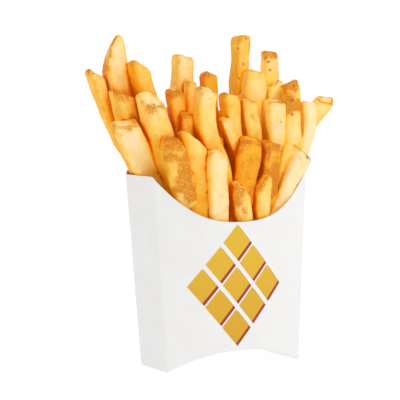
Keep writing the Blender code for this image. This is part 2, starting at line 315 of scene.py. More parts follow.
def card_sheet():
    bm = bmesh.new()

    def column(place, low, high):
        heights = [between(low, high, row / WALL_ROWS) for row in range(WALL_ROWS + 1)]
        return [bm.verts.new(waved(place(z))) for z in heights]

    def wall(columns):
        for left, right in zip(columns, columns[1:]):
            for row in range(WALL_ROWS):
                bm.faces.new((left[row], right[row], right[row + 1], left[row + 1]))

    across = shares(PANEL_COLUMNS)
    inner = shares(SIDE_COLUMNS)[1:-1]
    front = [column(lambda z, s=s: panel_place(s, z, -1), arch(s), front_rim(s)) for s in across]
    back = [column(lambda z, s=s: panel_place(s, z, 1), arch(s), back_rim(s)) for s in across]
    right = [column(lambda z, a=a: side_place(a, z, 1), 0.0, CORNER_HEIGHT) for a in inner]
    left = [column(lambda z, a=a: side_place(a, z, -1), 0.0, CORNER_HEIGHT) for a in inner]
    wall(front)
    wall([front[-1]] + right + [back[-1]])
    wall(back[::-1])
    wall([back[0]] + left[::-1] + [front[0]])

    base = []
    for index in range(PANEL_COLUMNS + 1):
        start, end = front[index][0], back[index][0]
        if index == 0:
            middle = [piece[0] for piece in left]
        elif index == PANEL_COLUMNS:
            middle = [piece[0] for piece in right]
        else:
            middle = [bm.verts.new(start.co.lerp(end.co, (a + 1) / 2)) for a in inner]
        base.append([start] + middle + [end])
    for near, far in zip(base, base[1:]):
        for row in range(SIDE_COLUMNS):
            bm.faces.new((near[row], near[row + 1], far[row + 1], far[row]))
    mesh = bpy.data.meshes.new("card_sheet")
    bm.to_mesh(mesh)
    bm.free()
    return mesh


# %% Creases and thickness, given by modifiers and then fixed in the mesh
def folded_card():
    blank = bpy.data.objects.new("card_blank", card_sheet())
    bpy.context.scene.collection.objects.link(blank)
    for _ in ("outside", "inside", "cut edge"):
        blank.data.materials.append(None)
    creases = blank.modifiers.new("Creases", "BEVEL")
    creases.width = CREASE_WIDTH
    creases.segments = CREASE_SEGMENTS
    creases.limit_method = "ANGLE"
    creases.angle_limit = CREASE_ANGLE
    card = blank.modifiers.new("Card", "SOLIDIFY")
    card.thickness = CARD_THICKNESS
    card.offset = -1.0
    card.use_even_offset = True
    card.material_offset = 1
    card.material_offset_rim = 2
    depsgraph = bpy.context.evaluated_depsgraph_get()
    mesh = bpy.data.meshes.new_from_object(blank.evaluated_get(depsgraph))
    bpy.data.objects.remove(blank)
    mesh.materials.clear()
    return mesh


card_mesh = folded_card()
print("card sheet has", len(card_mesh.vertices), "points")

# %% [markdown]
# ## The white board and its print
# Carton board is white, coated and faintly glossy outside, with fibres that show only as a
# slight unevenness. The front carries a printed group of lozenges in golden yellow, and each
# one has a red edge to its right and below, as if it stood a little off the card. A lozenge
# is simple in slanted axes: with p = x / width + z / height and q = x / width - z / height,
# it is where both are under a half. So the group is nine such cells, with no picture needed.

# %% The print as a mask
PRINT_MIDDLE = (-2.7 * MM, 38.0 * MM)
LOZENGE_WIDTH = 15.6 * MM
LOZENGE_HEIGHT = 18.8 * MM
LOZENGES_ACROSS = 3
LOZENGE_GAP = 0.085
RED_OFFSET = (0.95 * MM, -0.95 * MM)
INK_BLUR = 0.012
FRONT_FROM = (4.0, 5.0)  # millimetres before the middle, over which the print may begin
GOLD_FADE = (8.0, 68.0)  # millimetres up, over which the gold gets lighter


def lozenges(finish, x, z, shift=(0.0, 0.0)):
    """1 on the printed lozenges and 0 between them, with the group moved by shift."""
    slanted_x = (x - (STAND.x + PRINT_MIDDLE[0] + shift[0])) / LOZENGE_WIDTH
    slanted_z = (z - (STAND.z + PRINT_MIDDLE[1] + shift[1])) / LOZENGE_HEIGHT
    p = slanted_x + slanted_z
    q = slanted_x - slanted_z
    half_group = LOZENGES_ACROSS / 2

    def in_cell(value):
        cell = abs((value + half_group).math("FRACT") - 0.5)
        return cell.most(abs(value) - half_group + 0.5)

    inside = 0.5 - LOZENGE_GAP - in_cell(p).most(in_cell(q))
    return inside.rise(-INK_BLUR, INK_BLUR)


# %% The three faces of the card
BOARD_WHITE = (0.865, 0.86, 0.855)
BOARD_SHADE = (0.835, 0.825, 0.815)
INK_GOLD = (0.78, 0.47, 0.016)
INK_GOLD_DEEP = (0.69, 0.36, 0.009)
INK_RED = (0.37, 0.022, 0.006)
CUT_EDGE = (0.80, 0.70, 0.55)
CUT_EDGE_DARK = (0.62, 0.48, 0.33)
INSIDE_GREY = (0.74, 0.71, 0.66)
FIBRE_LENGTH = 1.6 * MM
FIBRE_WIDTH = 0.25 * MM
FIBRE_DEPTH = 0.012 * MM
MOTTLE = 9 * MM


def board_fibres(finish, place):
    """Fine fibres that lie up and down the card, as a height from 0 to 1."""
    lying = finish.stretched(place, (1.0, 1.0, FIBRE_WIDTH / FIBRE_LENGTH))
    return finish.clouds(lying, FIBRE_WIDTH, detail=2.0)


def outer_board():
    finish = Finish("white_card_outside", Specular_IOR_Level=0.4, Coat_Roughness=0.25)
    place = finish.place()
    x = finish.axis(place, "X")
    y = finish.axis(place, "Y")
    z = finish.axis(place, "Z")
    fibres = board_fibres(finish, place)
    mottle = finish.clouds(place, MOTTLE).rise(0.35, 0.75)
    card = finish.mix(mottle * 0.6 + fibres * 0.25, BOARD_WHITE, BOARD_SHADE)

    on_front = (-1 * y / MM).rise(*FRONT_FROM)
    gold_there = lozenges(finish, x, z) * on_front
    red_there = lozenges(finish, x, z, RED_OFFSET) * on_front
    up_the_print = (z / MM).rise(*GOLD_FADE)
    ink_grain = finish.clouds(place, 0.5 * MM) * 0.25
    gold = finish.mix(up_the_print + ink_grain, INK_GOLD_DEEP, INK_GOLD)
    printed = finish.mix(gold_there, finish.mix(red_there, card, INK_RED), gold)
    inked = gold_there.most(red_there)
    return finish.finished(
        Base_Color=printed,
        Roughness=0.40 + fibres * 0.10 - inked * 0.10 + mottle * 0.04,
        Coat_Weight=0.05 + inked * 0.05,
        Normal=finish.relief(fibres - inked * 0.3, FIBRE_DEPTH))


def inner_board():
    finish = Finish("white_card_inside", Specular_IOR_Level=0.25)
    place = finish.place()
    fibres = board_fibres(finish, place)
    colour = finish.mix(finish.clouds(place, MOTTLE), BOARD_SHADE, INSIDE_GREY)
    return finish.finished(Base_Color=colour, Roughness=0.72 + fibres * 0.12,
                           Normal=finish.relief(fibres, FIBRE_DEPTH * 2))


def cut_edge():
    finish = Finish("white_card_cut_edge", Specular_IOR_Level=0.2)
    plies = finish.clouds(finish.place(), 0.35 * MM, detail=4.0)
    colour = finish.mix(plies, CUT_EDGE, CUT_EDGE_DARK)
    return finish.finished(Base_Color=colour, Roughness=0.8 + plies * 0.1,
                           Normal=finish.relief(plies, 0.05 * MM))


carton = add_piece("card_carton", card_mesh, "carton",
                   [outer_board(), inner_board(), cut_edge()], sharp=SHARP_ANGLE)

# %% [markdown]
# ## Where every fry stands
# Cooks cut potato into bars of about ten millimetres, and a scoop drops them into the carton
# more or less upright, so they lean against the rim and each other. The layout table lists
# them as they are seen from the front left: the tip and a lower point of each fry on an
# upright picture plane through the carton, in millimetres across and up, and the rows, front
# to back, that the two points stand in. The rest says how it is bent, cut and fried.

# %% The form of one line of the layout, in millimetres and degrees
class Fry(NamedTuple):
    tip: tuple
    low: tuple
    side: float  # thickness of the bar
    rows: tuple  # of the low point, then of the tip
    bow: float = 0.0  # how far the middle bends to the right
    twist: float = 0.0
    end: float = 0.82  # width of the end, as a share of the side
    cut: tuple = (0.6, 0.6)  # fall of the cut end to the right and to the front
    soft: float = 3.0  # length over which the end narrows
    tone: float = 0.35  # how golden it is, from 0 to 1
    # Painted shade: how much more golden it is lower down.
    painted_shade_lower: float = 0.15  # how much more so lower down
    skin: float = 0.25  # how much rough brown skin it has
    faces: float = -90.0  # where that skin faces, from the right round to the back
    dome: float = 0.0  # how far the middle of the end stands up
    reach: float = 60.0  # how far down the skin goes


# %% The fries of the front row, from left to right
FRONT_FRIES = [
    Fry((-42.4, 108.5), (-30, 84), 12.6, (-4, -5), twist=-12, cut=(4, -1.5), tone=0.10,
        painted_shade_lower=0),
    Fry((-21.2, 102), (-16, 77), 11, (-18, -17), twist=-15, end=0.4, cut=(2, 0),
        soft=14, tone=0.56, painted_shade_lower=-0.3, skin=0.85, faces=-50, reach=33),
    Fry((-12, 101.2), (-9, 73.5), 11.4, (-14, -13.5), twist=-10, cut=(8.5, 0),
        tone=0.36, painted_shade_lower=0.42, skin=0.3, faces=180, dome=1.3),
    Fry((-1.2, 96), (-0.6, 66), 10.2, (-20.5, -20), twist=-12, end=0.45, soft=8, tone=0.08,
        painted_shade_lower=0),
    Fry((9.6, 80.6), (10.6, 66), 8.4, (-22, -21), end=0.42, cut=(3, 1), soft=8,
        tone=0.22, skin=0.5),
    Fry((19.6, 83), (19, 67.5), 8.4, (-20.5, -19), end=0.6, cut=(-5, 0), soft=5,
        tone=0.3, skin=0.4, faces=180),
    Fry((38.6, 94.8), (26.2, 69.5), 8.8, (-15, -13), bow=-0.6, end=0.7, tone=-0.08,
        painted_shade_lower=0),
]

# %% The fries of the second row
SECOND_FRIES = [
    Fry((-30.5, 119.2), (-18, 82.5), 10.9, (-6.5, -9), bow=-1.4, twist=8, cut=(1, 7),
        tone=0.08, painted_shade_lower=0.5, skin=0.35, reach=12),
    Fry((15, 100.8), (11.4, 82), 10.6, (-14, -13.5), twist=-12, cut=(0, 4), tone=0.8,
        skin=0.45),
    Fry((33.4, 98.6), (26.8, 76), 9.2, (-9.5, -8), twist=-10, end=0.8, tone=0.22, skin=0.1),
    Fry((-5, 124), (0.8, 87), 9.2, (-12, -14), bow=-3.2, twist=-10, cut=(0.5, 1),
        tone=0.10, painted_shade_lower=0.45, skin=0.1),
    Fry((23.8, 100.2), (22.6, 85), 8.6, (-13, -12), tone=0.7, skin=0.7),
    Fry((-44, 122), (-31.5, 84.5), 9.8, (5.5, 3), bow=-0.9, cut=(5.5, 0), tone=0.30,
        skin=0.4),
]

# %% The fries of the third row
THIRD_FRIES = [
    Fry((-36.6, 134.8), (-26.4, 96), 9.2, (2.5, 3), end=0.6, cut=(5, 0), soft=7,
        tone=0.55, skin=0.35, dome=1.2, reach=6),
    Fry((-20, 123.5), (-15, 87), 7.3, (1, -2), tone=0.45, skin=0.5, reach=9),
    Fry((-12.5, 127.5), (-13.5, 87), 5, (3, 3), tone=0.4, skin=0.1),
    Fry((-14, 113), (-14.5, 87), 6.4, (-5, -6), tone=0.45, skin=0.4),
    Fry((4.5, 121.5), (9, 87), 7.8, (-5.5, -6), end=0.75, cut=(2, 0), soft=4,
        tone=0.4, skin=0.3, faces=180),
    Fry((2.5, 111), (10, 91.5), 4.8, (-9.5, -9), tone=0.3, skin=0.1),
    Fry((12.8, 119.5), (17.3, 87), 7.8, (-5, -4), cut=(5, 0), tone=0.33, skin=0.3),
    Fry((25.5, 118.5), (25.5, 87), 9.4, (-4, -5), twist=-12, tone=0.12, skin=0.15),
    Fry((-56.2, 131), (-34.6, 84.5), 6.8, (10, 11), bow=-1.6, end=0.85, cut=(5.5, 0),
        soft=4, tone=0.35, skin=0.3),
]

# %% The fries at the back
BACK_FRIES = [
    Fry((-47.8, 140), (-29.8, 87), 10.4, (8, 10), bow=-2.6, end=0.95, cut=(-11.5, -4.5),
        soft=1.6, tone=0.15, skin=0.4, faces=180, dome=3.4),
    Fry((-15.8, 139), (-18, 87), 8.6, (9, 11), tone=0.1, skin=0.35),
    Fry((-4, 131), (-4, 87), 6.6, (4, 6), end=0.65, tone=0.75, skin=0.5, dome=0.5,
        reach=5),
    Fry((10.9, 148), (6.5, 87), 7.6, (10, 12), end=0.7, cut=(-1, 0), soft=4,
        tone=0.56, skin=0.2),
    Fry((16, 132.4), (15, 87), 11.2, (4, 5), twist=-10, end=0.36, soft=10, tone=0.25,
        skin=0.05),
    Fry((23, 141), (24, 87), 7.2, (10, 13), twist=-8, tone=0.3, skin=0.7, reach=9),
    Fry((25.6, 126.4), (21.5, 96), 9, (3.5, 5), end=0.45, cut=(-4, 0), soft=8,
        tone=0.1, skin=0, dome=0.5),
    Fry((31.9, 127), (32.4, 87), 7.8, (-4.5, -4), bow=0.9, twist=-6, end=0.9, cut=(-2, 0),
        tone=0.4, painted_shade_lower=-0.1, skin=0.9, faces=-110, reach=18),
    Fry((40.3, 118), (32.8, 87), 6.1, (-4, -7), bow=3.3, tone=-0.05, painted_shade_lower=0.1,
        skin=0.1),
    Fry((48.8, 118.8), (21.5, 88), 8.2, (3, 4), cut=(-4, 5), tone=0.32, skin=0),
]

# %% Fries that the front ones hide, finished as those that show
HIDDEN_FRIES = [
    Fry((-37, 119), (-30.5, 87), 9.4, (12, 16)),
    Fry((-25, 114), (-21, 87), 9.4, (17, 21)),
    Fry((-16.5, 109), (-14.5, 87), 8.8, (19, 23)),
    Fry((-8, 115), (-7, 87), 9.4, (19.5, 22)),
    Fry((1.5, 110), (0.5, 87), 9, (19, 23)),
    Fry((11, 114), (9, 87), 9.2, (18, 21)),
    Fry((20, 109), (17, 87), 8.8, (16, 20)),
    Fry((-9, 112), (-8, 87), 9, (10.5, 11)),
    Fry((4, 116), (1, 87), 8.4, (12, 13)),
    Fry((17, 113), (15.5, 87), 8.8, (10, 11)),
    Fry((35, 108), (26, 87), 8, (10.5, 14)),
    Fry((-2, 104), (-3, 87), 8.8, (-4, -4)),
    Fry((-24, 106), (-21, 87), 8.4, (6, 6)),
    Fry((9, 108), (8, 87), 8.4, (3, 3)),
]
ALL_FRIES = FRONT_FRIES + SECOND_FRIES + THIRD_FRIES + BACK_FRIES + HIDDEN_FRIES
print("fries in the carton", len(ALL_FRIES))

# %% [markdown]
# ## From the picture plane to the table
# The same eye that lays out the fries later holds the camera. A place on the picture plane
# and the eye make a line of sight, and the fry's point is where that line crosses its row.
# If a fry would cut into the card there, it is moved to the nearest row where it fits, just
# as a real fry would slide off the rim into the carton.

# %% The eye and its lines of sight
VIEW_TURN = math.radians(-26.6)
VIEW_TILT = math.radians(6.1)
VIEW_ROLL = math.radians(1.2)
VIEW_DISTANCE = 830.0 * MM
VIEW_PIVOT = Vector((0, 0, 45.0 * MM))

view_back = Vector((math.sin(VIEW_TURN) * math.cos(VIEW_TILT),
                    -math.cos(VIEW_TURN) * math.cos(VIEW_TILT), math.sin(VIEW_TILT)))
view_right = Vector((math.cos(VIEW_TURN), math.sin(VIEW_TURN), 0.0))
view_up = view_back.cross(view_right)
EYE = VIEW_PIVOT + view_back * VIEW_DISTANCE


def on_picture_plane(place):
    """The point of the picture plane at place, in millimetres across and up."""
    across = place[0] * MM
    rise = place[1] * MM - VIEW_PIVOT.z
    level_across = across * math.cos(VIEW_ROLL) + rise * math.sin(VIEW_ROLL)
    level_rise = rise * math.cos(VIEW_ROLL) - across * math.sin(VIEW_ROLL)
    return VIEW_PIVOT + view_right * level_across + view_up * level_rise


def seen_at(place, row):
    ray = on_picture_plane(place) - EYE
    return EYE + ray * ((row * MM - EYE.y) / ray.y)


# %% Fitting a fry between the walls
HEAP_GAP = 0.3 * MM
BOW_SLACK = 1.25
RIM_MARGIN = 3.0 * MM
ROW_STEP = 0.5
ROW_TRIES = 24
FOOT_HEIGHT = 48.0 * MM
FOOT_TRIES = 50
FOOT_DRAW_IN = 0.96
MIDDLE_SHARES = (0.0, 0.35, 0.7, 1.0)


def section_axes(twist):
    """The two directions across a fry: to the right, turned by twist, and away from the front."""
    across = Vector((1.0, 0.0, 0.0))
    across.rotate(Matrix.Rotation(math.radians(twist), 3, "Z"))
    return across, Vector((-across.y, across.x, 0.0))


def clears_card(centre, side, twist):
    across, deep = section_axes(twist)
    room = CARD_THICKNESS + HEAP_GAP
    for right, back in ((-1, -1), (1, -1), (1, 1), (-1, 1)):
        corner = centre + (across * right + deep * back) * side * MM / 2
        s = max(-1.0, min(1.0, corner.x / half_width(corner.z)))
        level = corner.z - RIM_MARGIN
        if level < CORNER_HEIGHT and abs(corner.x) > half_width(corner.z) - room:
            return False
        rim = front_rim(s) if corner.y < 0 else back_rim(s)
        wall = half_depth(corner.z) + panel_bow(s, corner.z)
        if level < rim and abs(corner.y) > wall - room * BOW_SLACK:
            return False
    return True


def settled(place, row, fry):
    for attempt in range(ROW_TRIES):
        for way in (1, -1):
            point = seen_at(place, row + way * attempt * ROW_STEP)
            if clears_card(point, fry.side, fry.twist):
                return point
    return seen_at(place, row)


def foot_of(tip, low, fry):
    share = (low.z - FOOT_HEIGHT) / (tip.z - low.z)
    foot = low + (low - tip) * share
    for _ in range(FOOT_TRIES):
        if clears_card(foot, fry.side, fry.twist):
            break
        foot.x *= FOOT_DRAW_IN
        foot.y *= FOOT_DRAW_IN
    return foot


def stations_of(fry):
    """Points along the middle of a fry, from its foot in the heap to its tip."""
    tip = settled(fry.tip, fry.rows[1], fry)
    low = settled(fry.low, fry.rows[0], fry)
    bow = view_right * fry.bow * MM
    middle = [low.lerp(tip, share) + bow * 4 * share * (1 - share) for share in MIDDLE_SHARES]
    return [foot_of(tip, low, fry)] + middle


# %% [markdown]
# ## The shape of one fry
# A raw fry is a square bar with sharp edges. Frying rounds the edges, pulls the faces in as
# steam leaves, bends the bar a little and blisters its skin. So a fry here is a row of closed
# rings along a smooth line: each ring is a rounded square, drawn in at the middle of its
# faces, and near the end the rings shrink into a soft, slanted cut. Points are worked out
# for a whole fry at once as numbers in arrays, because there are well over a hundred thousand.

# %% A smooth line through a few points
LINE_STEPS = 16
BEYOND_END = 20 * MM


class Line:
    """A smooth line through points, with its place and direction at any length along it. It
    goes straight on a little beyond its end, for the high side of a slanted cut."""

    def __init__(self, points):
        inner = np.array(points)
        ends = [2 * inner[:1] - inner[1:2], inner, 2 * inner[-1:] - inner[-2:-1]]
        knots = np.vstack(ends)
        t = np.linspace(0.0, 1.0, LINE_STEPS, endpoint=False)[:, None]
        runs = [b + t * (c - a) / 2 + t ** 2 * (a - 2.5 * b + 2 * c - d / 2)
                + t ** 3 * (1.5 * (b - c) + (d - a) / 2)
                for a, b, c, d in zip(knots, knots[1:], knots[2:], knots[3:])]
        ahead = inner[-1] - runs[-1][-1]
        beyond = inner[-1:] + ahead / np.linalg.norm(ahead) * BEYOND_END
        self.points = np.vstack(runs + [inner[-1:], beyond])
        steps = np.linalg.norm(np.diff(self.points, axis=0), axis=1)
        self.lengths = np.concatenate([[0.0], np.cumsum(steps)])
        self.length = self.lengths[-2]
        slopes = np.gradient(self.points, self.lengths, axis=0)
        self.slopes = slopes / np.linalg.norm(slopes, axis=1, keepdims=True)

    def read(self, table, at):
        return np.stack([np.interp(at, self.lengths, table[:, i]) for i in range(3)], axis=-1)

    def place(self, at):
        return self.read(self.points, at)

    def slope(self, at):
        found = self.read(self.slopes, at)
        return found / np.linalg.norm(found, axis=-1, keepdims=True)


# %% Rings and end of a fry
RING_POINTS = 40
RING_STEP = 0.85 * MM
END_STEP = 0.4 * MM
END_REACH = 4.0 * MM
EDGE_RADIUS = 1.3 * MM
CORNER_POWER = 4.2
FACE_SINK = 0.05
SIDE_SPREAD = 0.06
SLOW_LENGTH = 11 * MM
SLOW_SIZE = 0.09
SLOW_SPACING = 7.3
TIP_ROUNDING = 0.8
WOBBLE = 0.5 * MM
TWIST_SPREAD = 14.0
BURIED = 6.0 * MM
CAP_SHARES = (0.86, 0.7, 0.52, 0.34, 0.17, 0.05)
CORE_TOP = 58.0 * MM


def ring_places(line):
    """Lengths along a fry at which its rings stand: finer near the end."""
    start = np.interp(CORE_TOP - BURIED, line.points[:, 2], line.lengths)
    fine_from = line.length - END_REACH
    coarse = np.linspace(start, fine_from, max(2, int((fine_from - start) / RING_STEP)),
                         endpoint=False)
    fine = np.linspace(fine_from, line.length, int(END_REACH / END_STEP) + 1)
    return np.concatenate([coarse, fine])


def ring_outline(chance):
    """Across and deep shares, from -0.5 to 0.5, round one ring, and how near an edge each is."""
    turn = np.linspace(0, 2 * np.pi, RING_POINTS, endpoint=False)
    reach = (abs(np.cos(turn)) ** CORNER_POWER + abs(np.sin(turn)) ** CORNER_POWER)
    reach = reach ** (-1 / CORNER_POWER)
    sink = 1 - FACE_SINK * np.cos(2 * turn) ** 2
    wide = 1 + chance.uniform(-SIDE_SPREAD, SIDE_SPREAD)
    across = np.cos(turn) * reach * sink * wide / 2
    deep = np.sin(turn) * reach * sink / wide / 2
    edge = np.sin(2 * turn) ** 2
    return across, deep, edge, turn


def fry_points(index, fry, chance):
    """Points of one fry ring by ring, with what the finish needs to know at each."""
    line = Line(stations_of(fry))
    at = ring_places(line)
    from_end = line.length - at
    ease = np.clip(from_end / (fry.soft * MM), 0, 1)
    size = fry.end + (1 - fry.end) * np.sqrt(1 - (1 - ease) ** 2)
    drop = np.clip(1 - from_end / EDGE_RADIUS, 0, 1)
    half = fry.side * MM / 2
    size = size - EDGE_RADIUS * (1 - np.sqrt(1 - drop ** 2)) * TIP_ROUNDING / half
    slow = np.array([noise.noise_vector(Vector((a / SLOW_LENGTH, index * SLOW_SPACING, 0.0)))
                     for a in at])
    size = size * (1 + SLOW_SIZE * slow[:, 2])
    caps = np.array(CAP_SHARES)
    at = np.concatenate([at, np.full(len(caps), line.length)])
    size = np.concatenate([size, size[-1] * caps])
    from_end = np.concatenate([from_end, (caps - 1) * half])
    wobble = WOBBLE * np.vstack([slow, np.repeat(slow[-1:], len(caps), axis=0)])

    across, deep, edge, turn = ring_outline(chance)
    fall = (across * fry.cut[0] - deep * fry.cut[1]) * MM
    dome = fry.dome * MM
    share = np.linalg.norm([across, deep], axis=0)
    a = np.outer(size, across)
    d = np.outer(size, deep)
    inner = np.concatenate([np.ones(len(at) - len(caps)), caps])
    ring_fall = np.outer(inner, fall) - dome * (1 - 4 * np.outer(inner, across) ** 2)
    reached = at[:, None] * (line.length - ring_fall) / line.length
    places = line.place(reached)
    slopes = line.slope(reached)
    twists = np.radians(fry.twist + chance.uniform(-TWIST_SPREAD, TWIST_SPREAD)
                        * (0.5 - reached / line.length))
    right = np.stack([np.cos(twists), np.sin(twists), 0 * twists], axis=-1)
    lean = (slopes * right).sum(axis=-1, keepdims=True)
    axis_across = right - slopes * lean
    axis_across /= np.linalg.norm(axis_across, axis=-1, keepdims=True)
    axis_deep = np.cross(slopes, axis_across)
    a = a * fry.side * MM + wobble[:, :1]
    d = d * fry.side * MM + wobble[:, 1:2]
    points = places + axis_across * a[..., None] + axis_deep * d[..., None]
    kept = {
        "edge": np.outer(inner, edge),
        "from_end": np.repeat(from_end[:, None], RING_POINTS, axis=1) / MM,
        "turn": np.repeat(turn[None], len(at), axis=0),
        "along": reached / MM,
        "around": np.outer(np.ones(len(at)), turn * share * fry.side),
    }
    return points, kept


# %% One mesh for all the fries of a kind
SKIN_FADE = 7.0
SKIN_GAIN = 1.6
SKIN_START = 0.3
PAINTED_SHADE_OVER = 26.0
GRAIN_SPACING = 31.0


class Batch:
    """Fries gathered into one mesh: their points, faces and kept values."""

    def __init__(self):
        self.points = []
        self.faces = []
        self.kept = {name: [] for name in ("edge", "from_end", "tone", "skin", "fry")}
        self.grain = []
        self.count = 0

    def add(self, index, fry, points, kept):
        rings, around = points.shape[:2]
        ids = self.count + np.arange(rings * around).reshape(rings, around)
        low, high = ids[:-1], ids[1:]
        after = np.roll(ids, -1, axis=1)
        quads = np.stack([low, after[:-1], after[1:], high], axis=-1).reshape(-1, 4)
        self.faces += [tuple(q) for q in quads.tolist()]
        self.faces.append(tuple(reversed(ids[0].tolist())))
        self.faces.append(tuple(ids[-1].tolist()))
        self.points.append(points.reshape(-1, 3))
        facing = np.cos(kept["turn"] - math.radians(fry.faces)) * 0.5 + 0.5
        skin = fry.skin * np.clip(facing * SKIN_GAIN - SKIN_START, 0, 1)
        skin = skin * np.clip((fry.reach - kept["from_end"]) / SKIN_FADE, 0, 1)
        # Painted shade: lower down, further from its end, a fry's tone is moved up towards gold and
        # orange.
        lower = np.clip(kept["from_end"] / PAINTED_SHADE_OVER, 0, 1)
        number = np.full((rings, around), float(index))
        values = (kept["edge"], kept["from_end"], fry.tone + fry.painted_shade_lower * lower, skin, number)
        for gathered, value in zip(self.kept.values(), values):
            gathered.append(value.ravel())
        grain = np.stack([kept["around"], kept["along"], number * GRAIN_SPACING], axis=-1)
        self.grain.append(grain.reshape(-1, 3))
        self.count += rings * around

    def mesh(self, name):
        made = bpy.data.meshes.new(name)
        made.from_pydata(np.vstack(self.points).tolist(), [], self.faces)
        made.update()
        return made


# %% [markdown]
# ## Blisters, dents and rough skin
# What makes a fry look fried is its skin: slow dents along the faces, small blisters, and
# where it browned most a rough, torn crust. These are real bumps, so they are in the mesh:
# each point moves along its own normal by a few layers of noise, and the crust is a layer
# that only counts where the fry has brown skin or near its end.

# %% Roughening a mesh of fries
DENT_SIZE = 7.0
DENT_DEPTH = 0.42 * MM
LUMP_SIZE = 2.6
LUMP_DEPTH = 0.13 * MM
BLISTER_SIZE = 1.1
BLISTER_DEPTH = 0.05 * MM
CRUST_SIZE = 1.5
CRUST_DEPTH = 0.30 * MM
CRUST_MEAN = 0.45
FRY_SPACING = 37.0
SKIN_CRUST = 0.85
END_CRUST_REACH = 2.0
END_CRUST = 0.55
PATCH_SIZE = 5.0
PATCH_SHARE = 1.3


def roughened(batch, mesh):
    """Move each point along its normal by noise, and return how much crust each point has."""
    points = np.vstack(batch.points)
    normals = np.empty(len(points) * 3, np.float32)
    mesh.vertices.foreach_get("normal", normals)
    normals = normals.reshape(-1, 3)
    own = points / MM + np.concatenate(batch.kept["fry"])[:, None] * FRY_SPACING
    skin = np.concatenate(batch.kept["skin"])
    from_end = np.concatenate(batch.kept["from_end"])
    move = np.empty(len(points))
    crust = np.empty(len(points))
    for i, place in enumerate(own.tolist()):
        v = Vector(place)
        dent = noise.noise(v / DENT_SIZE)
        lump = noise.noise(v / LUMP_SIZE)
        blister = noise.noise(v / BLISTER_SIZE)
        patch = 1.0 + noise.noise(v / PATCH_SIZE) * PATCH_SHARE
        end = math.exp(-abs(from_end[i]) / END_CRUST_REACH) * END_CRUST
        amount = min(1.0, max(0.0, (skin[i] * SKIN_CRUST + end) * patch))
        torn = noise.turbulence(v / CRUST_SIZE, 3, False) - CRUST_MEAN
        move[i] = (DENT_DEPTH * dent + LUMP_DEPTH * lump + BLISTER_DEPTH * blister
                   + CRUST_DEPTH * torn * amount)
        crust[i] = amount
    return points + normals * move[:, None], crust


def kept_inside(points):
    """The points with those that would touch the card below its rim moved off it."""
    x, y, z = points.T.copy()
    room = CARD_THICKNESS + HEAP_GAP
    s = np.clip(x / half_width(z), -1, 1)
    rim = np.where(y < 0, front_rim(s), back_rim(s)) + RIM_MARGIN / 2
    wide = half_width(z) - room
    x = np.where(z < CORNER_HEIGHT + RIM_MARGIN / 2, np.clip(x, -wide, wide), x)
    deep = half_depth(z) + panel_bow(s, z) - room * BOW_SLACK
    y = np.where(z < rim, np.clip(y, -deep, deep), y)
    return np.stack([x, y, z], axis=-1)


# %% [markdown]
# ## How closed in each point is
# Between fries the light bounces from one golden face to the next and turns a deep orange.
# The finish paints that into the colour as shade, darker and more orange, from a value kept
# in the mesh: from each point a few short rays are cast outwards, and the share that meets
# another fry or the card says how closed in it is.

# %% Casting short rays from every point
RAY_REACH = 17.0 * MM
RAY_LIFT = 0.25 * MM
RAY_COUNT = 20
RAY_TOO_FLAT = 0.15
FAR_HIT_LOSS = 0.5


def ray_directions():
    """Directions spread evenly over a ball, along a spiral from pole to pole."""
    turn = math.pi * (3 - math.sqrt(5))
    levels = [1 - 2 * (i + 0.5) / RAY_COUNT for i in range(RAY_COUNT)]
    return [Vector((math.sqrt(1 - z * z) * math.cos(turn * i),
                    math.sqrt(1 - z * z) * math.sin(turn * i), z))
            for i, z in enumerate(levels)]


def closed_in(points, normals, tree):
    directions = ray_directions()
    found = np.zeros(len(points), np.float32)
    for i in range(len(points)):
        normal = Vector(normals[i])
        start = Vector(points[i]) + normal * RAY_LIFT
        total = 0.0
        met = 0.0
        for direction in directions:
            weight = direction.dot(normal)
            if weight < RAY_TOO_FLAT:
                continue
            total += weight
            hit = tree.ray_cast(start, direction, RAY_REACH)
            if hit[0] is not None:
                met += weight * (1 - hit[3] / RAY_REACH * FAR_HIT_LOSS)
        found[i] = met / total if total else 0.0
    return found


# %% Gathering the fries by how they are finished
PALE_BELOW = 0.25
KINDS = ("pale_fries", "golden_fries", "browned_fries")
LOOKS_SEED = 11


def kind_of(fry):
    if fry.skin >= 0.5:
        return "browned_fries"
    return "pale_fries" if fry.tone < PALE_BELOW else "golden_fries"


chance = random.Random(LOOKS_SEED)
batches = {kind: Batch() for kind in KINDS}
for index, fry in enumerate(ALL_FRIES):
    if index >= len(ALL_FRIES) - len(HIDDEN_FRIES):
        fry = fry._replace(tone=chance.uniform(0.1, 0.6), skin=chance.uniform(0.0, 0.7),
                           faces=chance.uniform(0, 360), end=chance.uniform(0.65, 0.9),
                           soft=chance.uniform(2.0, 5.0),
                           cut=(chance.uniform(-4, 4), chance.uniform(-3, 3)))
    points, kept = fry_points(index, fry, chance)
    batches[kind_of(fry)].add(index, fry, points, kept)

fry_meshes = {}
for kind, batch in batches.items():
    mesh = batch.mesh(kind)
    places, crust = roughened(batch, mesh)
    places = kept_inside(places)
    mesh.vertices.foreach_set("co", places.astype(np.float32).ravel())
    mesh.update()
    batch.crust = crust
    fry_meshes[kind] = mesh
    print(kind, "points", len(mesh.vertices), "mean crust", round(float(crust.mean()), 3))

# %% Keeping the values that the finish reads
def store(mesh, name, values, kind="FLOAT"):
    attribute = mesh.attributes.new(name, kind, "POINT")
    field = "value" if kind == "FLOAT" else "vector"
    attribute.data.foreach_set(field, np.asarray(values, np.float32).ravel())


def joined_tree(meshes):
    points, faces = [], []
    for mesh in meshes:
        start = len(points)
        points += [v.co.copy() for v in mesh.vertices]
        faces += [tuple(start + i for i in p.vertices) for p in mesh.polygons]
    return BVHTree.FromPolygons(points, faces)


